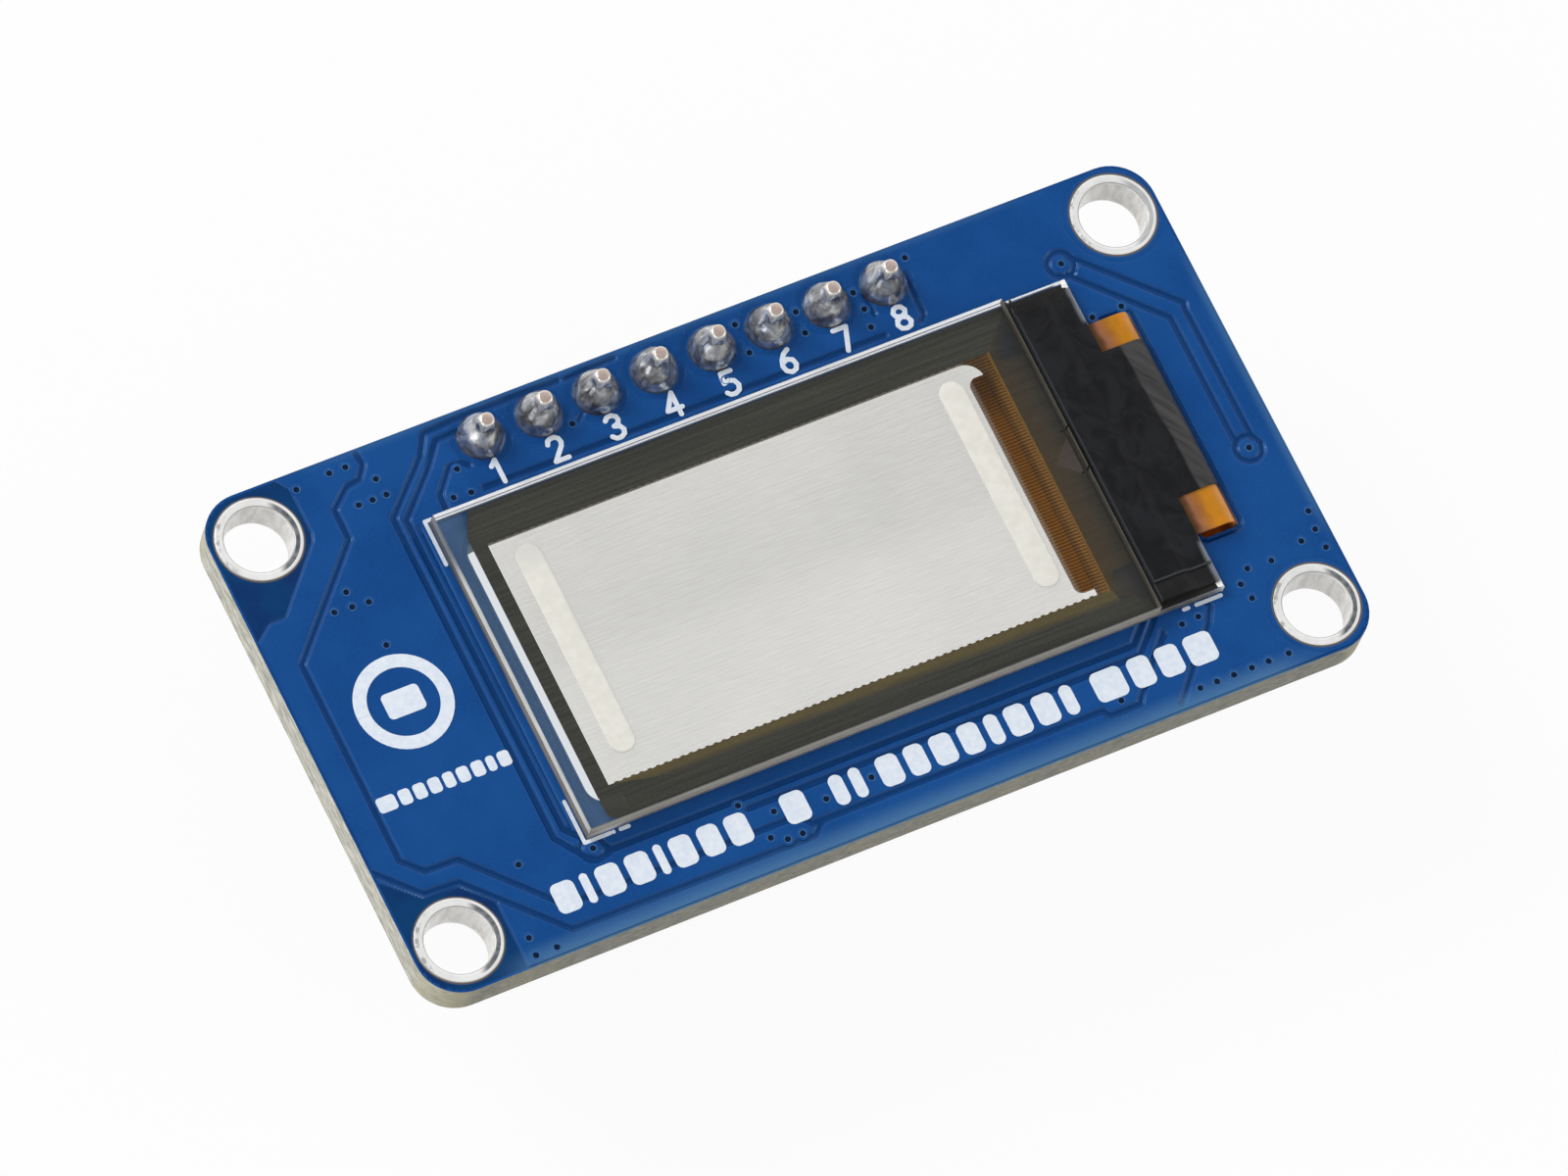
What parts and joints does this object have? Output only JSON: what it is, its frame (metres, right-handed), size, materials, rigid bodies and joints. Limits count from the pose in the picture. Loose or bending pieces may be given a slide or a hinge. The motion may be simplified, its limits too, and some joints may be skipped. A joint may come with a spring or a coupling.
{
  "type": "small transparent oled display module",
  "caption": "Blue breakout board with a see-through OLED panel over a window, a flex folded through a slot, a straight pin header and plated screw holes.",
  "frame": {"origin": "centre of the four screw holes, on the board's underside", "axes": "+X along the board towards the flex, +Y across the board towards the pin header, +Z out of the display face"},
  "size_m": [0.0418, 0.0222, 0.0119],
  "materials": {
    "blue_board": "gloss blue solder mask over glass-fibre laminate",
    "tinned_metal": "bright tin plating",
    "pin_metal": "tinned pins with cut ends",
    "solder": "dull lumpy solder",
    "black_moulding": "matt black moulding",
    "clear_adhesive": "clear glue",
    "panel_glass": "clear polished glass",
    "dark_metal_film": "dark olive metal film seen through glass",
    "pixel_field": "slightly grey see-through pixel field",
    "milky_desiccant": "milky strip",
    "silicon_die": "polished die",
    "black_resin": "gloss black resin",
    "amber_film": "gloss amber polyimide",
    "matt_tape": "matt black tape",
    "ceramic_chip": "tan ceramic with tinned ends",
    "resistor_chip": "black top with tinned ends"
  },
  "bodies": {
    "root": {"circuit_board": "blue_board", "hole_plating_1": "tinned_metal", "hole_plating_2": "tinned_metal", "hole_plating_3": "tinned_metal", "hole_plating_4": "tinned_metal", "header_body": "black_moulding", "header_pin_1": "pin_metal", "header_pin_2": "pin_metal", "header_pin_3": "pin_metal", "header_pin_4": "pin_metal", "header_pin_5": "pin_metal", "header_pin_6": "pin_metal", "header_pin_7": "pin_metal", "header_pin_8": "pin_metal", "solder_joint_1": "solder", "solder_joint_2": "solder", "solder_joint_3": "solder", "solder_joint_4": "solder", "solder_joint_5": "solder", "solder_joint_6": "solder", "solder_joint_7": "solder", "solder_joint_8": "solder", "panel_adhesive": "clear_adhesive", "back_glass": "panel_glass", "wiring_film": "dark_metal_film", "pixel_layer": "pixel_field", "edge_seal": "clear_adhesive", "cover_glass": "panel_glass", "drying_strip_left": "milky_desiccant", "drying_strip_right": "milky_desiccant", "driver_chip": "silicon_die", "ledge_sealant": "black_resin", "flex_cable": "amber_film", "black_tape": "matt_tape", "flex_solder": "solder", "regulator_body": "black_moulding", "regulator_leads": "tinned_metal", "capacitor_1": "ceramic_chip", "capacitor_2": "ceramic_chip", "capacitor_3": "ceramic_chip", "capacitor_4": "ceramic_chip", "capacitor_5": "ceramic_chip", "capacitor_6": "ceramic_chip", "resistor_1": "resistor_chip", "resistor_2": "resistor_chip", "resistor_3": "resistor_chip", "resistor_4": "resistor_chip", "resistor_5": "resistor_chip", "resistor_6": "resistor_chip", "component_solder": "solder"}
  },
  "joints": []
}
